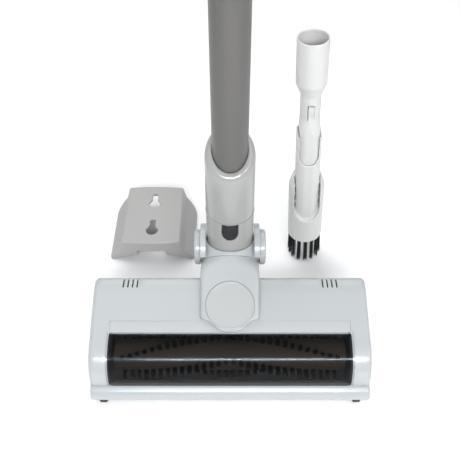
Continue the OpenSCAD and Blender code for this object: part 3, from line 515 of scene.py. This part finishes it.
def window_rims():
    """Strips at both ends of the window that round off the corners of its opening."""
    skin, run = window_skin()
    last = len(skin) - 1
    for side, word in ((-1, "left"), (1, "right")):
        verts, faces = [], []
        for i, (p, d) in enumerate(zip(skin, run)):
            near = min(d, run[-1] - d)
            short = max(0, WINDOW_CORNER - near)
            gap = WINDOW_CORNER - math.sqrt(max(0, WINDOW_CORNER ** 2 - short ** 2))
            t = (skin[min(i + 1, last)] - skin[max(i - 1, 0)]).normalized()
            low = p + Vector((t.y, -t.x)) * 1.2
            for q in (p, low):
                verts.append(Vector((side * (WINDOW_HALF + 1), q.x - FRONT_Y, q.y)) * MM)
                verts.append(Vector((side * (WINDOW_HALF - 0.8 - gap), q.x - FRONT_Y, q.y)) * MM)
        for i in range(last):
            a, b = 4 * i, 4 * i + 4
            faces += [(a, a + 1, b + 1, b), (a + 1, a + 3, b + 3, b + 1)]
            faces += [(a + 3, a + 2, b + 2, b + 3), (a + 2, a, b, b + 2)]
        end = 4 * last
        faces += [(0, 2, 3, 1), (end, end + 1, end + 3, end + 2)]
        rim = outward(mesh_of("rim", verts, faces))
        new_object("window_rim_" + word, rim, "head", "white_gloss", 50)


def window_ends():
    """The walls inside the shell at both ends of the window."""
    ring = inset(head_profile(), 1.6)
    k = len(ring)
    for side, word in ((-1, "left"), (1, "right")):
        verts = []
        for t in (0.3, 2.3):
            verts += [Vector((side * (WINDOW_HALF + t), p.x - FRONT_Y, p.y)) * MM for p in ring]
        faces = [tuple(range(k)), tuple(reversed(range(k, 2 * k)))]
        faces += [(i, (i + 1) % k, (i + 1) % k + k, i + k) for i in range(k)]
        new_object("window_end_" + word, mesh_of("window_end", verts, faces), "head", "white_gloss")


def lip():
    """The bumper under the window: a long moulding with soft ends, a lower bevel and roller pockets."""
    crown = [(-1, 8.2), (-0.5, 10.8), (0.9, 13.3), (3.3, 16), (6.4, 18.1), (9, LIP_Z)]
    back = [(11, LIP_Z), (11, 4.5), (4, 4.5), (1.1, 5.7)]
    outline = rounded(crown + back, [1.2, 2, 2, 2, 2, 1, 0, 0, 1, 1.2], 4)
    half = HEAD_W / 2
    xs = both_ways(end_stations(half, LIP_SOFT) + [0, 60])
    verts = []
    for x in xs:
        d = end_inset(x, half, LIP_SOFT)
        for p in outline:
            q = p + (LIP_CENTRE - p).normalized() * d
            if p.x > 10.9:
                q.x = p.x
            verts.append(Vector((x, q.x - FRONT_Y, q.y)) * MM)
    n = len(outline)
    faces = [(i * n + j, i * n + (j + 1) % n, (i + 1) * n + (j + 1) % n, (i + 1) * n + j)
             for i in range(len(xs) - 1) for j in range(n)]
    faces += [tuple(range(n)), tuple(reversed(range((len(xs) - 1) * n, len(xs) * n)))]
    me = mesh_of("lip", verts, faces)
    bm = bmesh.new()
    bm.from_mesh(me)
    bmesh.ops.recalc_face_normals(bm, faces=bm.faces)
    bm.to_mesh(me)
    bm.free()
    ob = helper(me)
    cut = bmesh.new()
    for side in (-1, 1):
        bmesh.ops.create_cone(cut, cap_ends=True, segments=32, radius1=POCKET_R * MM,
                              radius2=POCKET_R * MM, depth=POCKET_W * MM,
                              matrix=at(side * POCKET_X, POCKET_Y - FRONT_Y, POCKET_Z, ry=90))
    cutter = helper(bpy.data.meshes.new("pockets"))
    cut.to_mesh(cutter.data)
    cut.free()
    m = ob.modifiers.new("pockets", "BOOLEAN")
    m.operation, m.object, m.solver = "DIFFERENCE", cutter, "EXACT"
    me = baked(ob, "lip")
    bpy.data.objects.remove(cutter)
    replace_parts(new_object("head_lip", me, "head", "white_gloss", 40), "front_lip")


def badge():
    """A plain round badge with a fine raised rim and a shallow dish."""
    place = at(0, BADGE_Y, BADGE_Z, rx=BADGE_RISE)
    r = BADGE_R
    dish = [(0, 0.02), (8, 0.02), (15, 0.0), (r - 2.0, -0.05)]
    rim = [(r - 1.7, 0.0), (r - 1.5, 0.28), (r - 1.1, 0.42), (r - 0.6, 0.42), (r - 0.2, 0.28)]
    profile = dish + rim + [(r, 0.0), (r, -0.8), (0, -0.8)]
    ob = lathe("badge", profile, place, "head", "badge_silver", 96, close=True)
    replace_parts(ob, "badge_disc")


def tuft_mesh(name, spots, hairs, spread, thick, body, slot, seed):
    """Bundles of thin tapered hairs. A spot is (root, tip) in metres."""
    rng = random.Random(seed)
    verts, faces = [], []
    for root, tip in spots:
        axis = tip - root
        side = axis.orthogonal().normalized()
        other = axis.cross(side).normalized()
        for _ in range(hairs):
            a, rad = rng.uniform(0, 2 * math.pi), spread[0] * math.sqrt(rng.random())
            off = (side * math.cos(a) + other * math.sin(a))
            p0 = root + off * rad
            lean = off * (spread[1] - spread[0]) * (rad / spread[0]) + side * rng.uniform(-1, 1) * thick * 2
            p1 = root + axis * rng.uniform(0.93, 1.0) + off * rad + lean
            base = len(verts)
            for p, w in ((p0, thick), ((p0 + p1) / 2 + off * thick * 0.3, thick * 0.9), (p1, thick * 0.45)):
                for k in range(3):
                    t = a + 2 * math.pi * k / 3
                    verts.append(p + (side * math.cos(t) + other * math.sin(t)) * w)
            for ring in (0, 3):
                for k in range(3):
                    faces.append((base + ring + k, base + ring + (k + 1) % 3, base + ring + 3 + (k + 1) % 3,
                                  base + ring + 3 + k))
            faces.append((base + 6, base + 7, base + 8))
            faces.append((base + 2, base + 1, base))
    return new_object(name, mesh_of(name, verts, faces), body, slot, 0)


def bristles():
    """Four rows of tufts on the roller, each wound into a V that points to the middle."""
    rows, tufts, twist, start = 4, 15, 87, -38
    pitch = ROLLER_HALF / tufts
    spots = []
    for side in (-1, 1):
        for k in range(rows):
            for i in range(tufts):
                a = math.radians(start + 360 / rows * k + twist / tufts * i)
                x = side * pitch * (i + 0.5)
                out = Vector((0, -math.sin(a), math.cos(a)))
                axis = Vector((x, ROLLER_Y, ROLLER_Z))
                root, tip = axis + out * (ROLLER_CORE_R - 0.5), axis + out * ROLLER_TIP_R
                spots.append((root * MM, tip * MM))
    ob = tuft_mesh("roller_bristles", spots, 70, (1.8 * MM, 2.1 * MM), 0.26 * MM,
                   "roller", "bristle_black", 3)
    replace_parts(ob, "bristle_rows")


def tool_bristles():
    """A ring of tufts under the brush sleeve of the crevice tool."""
    place = at(85.6, 61, 0, ry=-3)
    spots, tufts = [], 14
    root_r, root_z, tip_r, tip_z = 15.6, 36, 16.4, 2
    for i in range(tufts):
        a = 2 * math.pi * i / tufts - math.pi / 2
        c, d = math.cos(a), math.sin(a)
        spots.append((place @ Vector((root_r * c * MM, root_r * d * MM, root_z * MM)),
                      place @ Vector((tip_r * c * MM, tip_r * d * MM, tip_z * MM))))
    ob = tuft_mesh("tool_bristles", spots, 70, (1.9 * MM, 2.3 * MM), 0.16 * MM,
                   "tool_sleeve", "bristle_black", 5)
    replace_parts(ob, "tool_tufts")


# ---- neck, yoke and wand collar ---------------------------------------------------------------
SWIVEL = at(0, 0, TILT_Z, rx=SWIVEL_RISE - 90)
PAD = at(0, BADGE_Y, BADGE_Z, rx=BADGE_RISE)
NECK_R, SEAM_A, SPIGOT_A, SPIGOT_R = 28.9, -14.6, -31.5, 26.2
NECK_TOP_A = SEAM_A - 0.3     # a gap of 0.3 under the yoke
DUCT_R = 21.5


def neck():
    """The raised column from the swivel seam down to the badge, round above and flat-faced below.

    Its rings stand along the swivel's axis at the places a, and s is the same place along the badge's face.
    """
    to_swivel = SWIVEL.inverted()
    pad_a = (to_swivel @ PAD.translation).z / MM
    up = to_swivel.to_3x3() @ (PAD.to_3x3() @ Vector((0, 1, 0)))
    pad_n = -(to_swivel @ PAD.translation).y / MM
    square_off = 25            # the round section turns into the flat-faced one over this length
    end_r, end_s = 25.6, -11.5      # the round end below the badge, and where it starts
    stops = [NECK_TOP_A - square_off * k / 14 for k in range(14)] + [-40 - 2.2 * k for k in range(16)]
    ends = [end_s - 0.7 * k for k in range(1, 7)] + [-16 - 1.2 * k for k in range(1, 8)]
    ends += [-25, -25.4, -25.58]
    stops += [pad_a + e * up.z for e in ends]
    steps, verts = 96, []
    for a in stops:
        s = (a - pad_a) / up.z
        k = smooth_step((NECK_TOP_A - a) / square_off)
        top = NECK_R + (pad_n - up.y * s - NECK_R) * k
        if s < -22:
            top -= 3 * (1 - math.sqrt(max(0, 1 - ((-22 - s) / 3.6) ** 2)))
        power = 2 + 10 * k
        wide = NECK_R
        if s < end_s:
            ring = math.sqrt(max(0, end_r ** 2 - s * s))
            wide += (ring - wide) * smooth_step((end_s - s) / 4.2)
        low = -NECK_R if a > -45 else -NECK_R + (21 + NECK_R) * min(1, (-45 - a) / 30)
        for i in range(steps):
            t = 2 * math.pi * i / steps
            c, n = math.cos(t), math.sin(t)
            x = wide * math.copysign(abs(c) ** (2 / power), c)
            h = top * n ** (2 / power) if n >= 0 else NECK_R * n
            verts.append(SWIVEL @ Vector((x * MM, -max(h, low) * MM, a * MM)))
    rings = len(stops)
    faces = []
    for i in range(rings - 1):
        for j in range(steps):
            a, b = i * steps + j, i * steps + (j + 1) % steps
            faces.append((a, b, b + steps, a + steps))
    faces += [tuple(range(steps)), tuple(reversed(range((rings - 1) * steps, rings * steps)))]
    ob = helper(outward(mesh_of("neck", verts, faces)))
    me = cut_with(ob, [rod(PAD, BADGE_R + 0.35, BADGE_R + 0.35, -0.9, 9),
                       rod(SWIVEL, SPIGOT_R + 0.4, SPIGOT_R + 0.4, SPIGOT_A - 2, 0),
                       rod(SWIVEL, DUCT_R, DUCT_R, -70, -20)])
    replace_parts(new_object("neck_column", me, "head", "white_gloss", 40), "neck_fairing")


def yoke():
    """The CAD yoke with its front corners filled up to the socket, then softened."""
    apron = helper(rod(SWIVEL, NECK_R, NECK_R, SEAM_A, 4))
    socket_room = 23.55
    # (radius, x) of the room that the socket's foot turns in as it tilts
    barrel = [(14.4, -23.8), (24.4, -13.8), (24.4, 13.8), (14.4, 23.8)]
    steps, place = 96, at(0, 0, TILT_Z, ry=90)
    verts = []
    for k in range(steps):
        a = 2 * math.pi * k / steps
        verts += [place @ Vector((r * math.cos(a) * MM, r * math.sin(a) * MM, x * MM)) for r, x in barrel]
    n = len(barrel)
    faces = [(k * n + i, ((k + 1) % steps) * n + i, ((k + 1) % steps) * n + i + 1, k * n + i + 1)
             for k in range(steps) for i in range(n - 1)]
    faces += [tuple(k * n for k in range(steps)), tuple(reversed([k * n + n - 1 for k in range(steps)]))]
    hollow = outward(mesh_of("barrel", verts, faces))
    bm = bmesh.new()
    bmesh.ops.create_cube(bm, size=1, matrix=at(0, 36, TILT_Z) @ Matrix.Diagonal((0.09, 0.08, 0.12, 1)))
    behind = bpy.data.meshes.new("behind")
    bm.to_mesh(behind)
    bm.free()
    me = cut_with(apron, [hollow, rod(at(0, 0, 0), socket_room, socket_room, TILT_Z - 4, 200), behind])
    bm = bmesh.new()
    bm.from_mesh(me)
    bm.from_mesh(CAD["yoke"].data)
    bmesh.ops.remove_doubles(bm, verts=bm.verts, dist=2e-6)
    whole = bpy.data.meshes.new("yoke_whole")
    bm.to_mesh(whole)
    bm.free()
    soft_copy("yoke", whole, 0.45, 6, 0.5)


def collar():
    """The socket's upper shell: round shoulders that close on the wand behind a slanted mouth."""
    steps, tube_r, out_r, drop, low_z, bend_z = 96, 16.15, 23, 9.5, 131.6, 150
    front_z, slant = 189.5, 14
    verts, count = [], 0
    for k in range(steps):
        a = 2 * math.pi * k / steps
        mouth = front_z + slant * (math.sin(a) + 1)
        ring = [(out_r, low_z), (out_r, bend_z)]
        ring += [(out_r - 0.2, mouth - drop - 8), (out_r - 0.3, mouth - drop)]
        for i in range(1, 11):
            t = math.pi / 2 * i / 10
            r = tube_r + 0.5 + (out_r - 0.8 - tube_r) * math.cos(t)
            ring.append((r, mouth - drop + drop * math.sin(t)))
        ring += [(tube_r + 0.15, mouth - 0.3), (tube_r, mouth - 1.2), (tube_r, bend_z), (tube_r, low_z)]
        count = len(ring)
        verts += [Vector((r * math.cos(a), r * math.sin(a), z)) * MM for r, z in ring]
    faces = [(k * count + i, ((k + 1) % steps) * count + i, ((k + 1) % steps) * count + (i + 1) % count,
              k * count + (i + 1) % count) for k in range(steps) for i in range(count)]
    me = outward(mesh_of("collar", verts, faces))
    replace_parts(new_object("collar_shell", me, "wand", "white_joint", 40), "wand_collar")


# ---- build ------------------------------------------------------------------------------------
for node, ob in CAD.items():
    ob.data.materials.clear()
    ob.data.materials.append(MATS[SLOT_OF[node]])
    ob.data.set_sharp_from_angle(angle=math.radians(35))

cover()
window_rims()
window_ends()
lip()
badge()
neck()
yoke()
collar()
bristles()
tool_bristles()
# node, voxel in millimetres, rounds of smoothing, share of the faces kept
SOFTENED = (
    ("pivot_caps", 0.45, 6, 0.5), ("socket_base", 0.5, 6, 0.5), ("wall_bracket", 0.6, 10, 0.45),
    ("crevice_nozzle", 0.55, 10, 0.45), ("tool_sleeve", 0.55, 10, 0.45), ("handle", 0.8, 8, 0.4),
    ("battery_case", 0.8, 6, 0.3), ("trigger", 0.4, 6, 0.5), ("latch_button", 0.3, 5, 0.5))
for node, voxel, rounds, keep in SOFTENED:
    soften(node, voxel, rounds, keep)


# ---- stage ------------------------------------------------------------------------------------
def area_light(name, at_m, aim, size, power, colour=(1, 1, 1), diffuse=True, glossy=True):
    """A rectangular lamp that points at aim. Without diffuse it only makes highlights."""
    light = bpy.data.lights.new(name, "AREA")
    light.shape, light.size, light.size_y = "RECTANGLE", size[0], size[1]
    light.energy, light.color = power, colour
    ob = bpy.data.objects.new(name, light)
    ob.location = at_m
    ob.rotation_mode = "QUATERNION"
    ob.rotation_quaternion = (Vector(aim) - Vector(at_m)).to_track_quat("-Z", "Y")
    ob.visible_diffuse, ob.visible_glossy = diffuse, glossy
    scene.collection.objects.link(ob)


FLOOR_HALF = 6
floor_mesh = bpy.data.meshes.new("floor")
corners = [(x * FLOOR_HALF, y * FLOOR_HALF, 0) for x, y in ((-1, -1), (1, -1), (1, 1), (-1, 1))]
floor_mesh.from_pydata(corners, [], [(0, 1, 2, 3)])
floor = bpy.data.objects.new("floor", floor_mesh)
scene.collection.objects.link(floor)
floor_mesh.materials.append(surface(
    "floor_paper", (0.90, 0.90, 0.90), rough=0.7, mottle=0.01, mottle_size=200, grain=0.05,
    grain_size=3, round_edge=0))

world = bpy.data.worlds.new("studio")
scene.world = world
world.use_nodes = True
sky = world.node_tree.nodes["Background"]
sky.inputs["Color"].default_value = (0.95, 0.97, 1.0, 1)
sky.inputs["Strength"].default_value = 0.46
WINDOW_AT = (0, -0.11, 0.04)
area_light("key", (-0.7, 0.5, 1.9), (0, -0.05, 0.1), (1.3, 1.3), 16, glossy=False)
# the long streak in the window, its blue and warm ends, and the soft light that fills the front
area_light("strip", (0.1, -1.0, 0.86), WINDOW_AT, (0.7, 0.05), 14, (0.86, 0.93, 1.0), diffuse=False)
area_light("glow", (-0.1, -1.0, 0.88), WINDOW_AT, (0.7, 0.16), 5, (0.55, 0.72, 1.0), diffuse=False)
area_light("front", (0.1, -1.0, 0.87), WINDOW_AT, (1.0, 0.3), 14.5, (0.96, 0.98, 1.0), glossy=False)
area_light("warm", (1.0, -1.0, 0.86), (0.12, -0.11, 0.04), (0.5, 0.05), 6.0, (1.0, 0.62, 0.32),
           diffuse=False)
area_light("fill", (1.2, -0.5, 1.3), (0, 0, 0.1), (1.0, 1.0), 4, (1.0, 0.98, 0.95))
area_light("back", (0.1, 1.3, 1.6), (0, 0, 0.3), (1.4, 0.8), 5)
scene.view_settings.view_transform = "Standard"
scene.view_settings.look = "None"
scene.view_settings.exposure = 0.12
